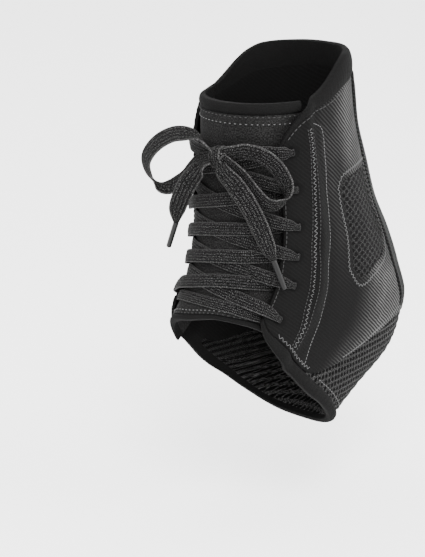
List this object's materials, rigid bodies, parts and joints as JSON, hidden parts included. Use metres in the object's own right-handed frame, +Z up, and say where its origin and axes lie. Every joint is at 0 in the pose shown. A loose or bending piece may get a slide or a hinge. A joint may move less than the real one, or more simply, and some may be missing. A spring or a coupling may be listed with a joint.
{
  "type": "lace-up ankle brace",
  "caption": "Soft black lace-up ankle brace in its worn shape, hollow and open at the leg and forefoot, with tongue, bow and mesh heel.",
  "frame": {"origin": "centre of the ankle joint, inside the hollow, where the worn ankle holds the brace", "axes": "+Z up along the leg; toes toward -Y, heel toward +Y; +X is the wearer's left side, the one the picture shows"},
  "size_m": [0.0746, 0.1518, 0.1904],
  "materials": {
    "twill": "charcoal twill with a pale diagonal sheen",
    "spacer_mesh": "black spacer mesh with round dimples",
    "ribbed_mesh": "black ribbed open mesh",
    "binding": "soft black binding",
    "tongue_cloth": "dark grey brushed cloth",
    "lace": "flat woven lace, dark grey",
    "aglet": "smooth black film"
  },
  "bodies": {
    "root": {"panel_left": "twill", "panel_right": "twill", "window_left": "spacer_mesh", "window_right": "spacer_mesh", "heel_mesh": "ribbed_mesh", "back_strip": "twill", "collar_band": "binding", "forefoot_band": "binding", "tongue": "tongue_cloth", "tongue_binding_top": "binding", "tongue_binding_bottom": "binding", "lacing": "lace", "knot": "lace", "bow_loop_left": "lace", "bow_loop_right": "lace", "lace_end_left": "lace", "lace_end_right": "lace", "aglet_left": "aglet", "aglet_right": "aglet"}
  },
  "joints": []
}
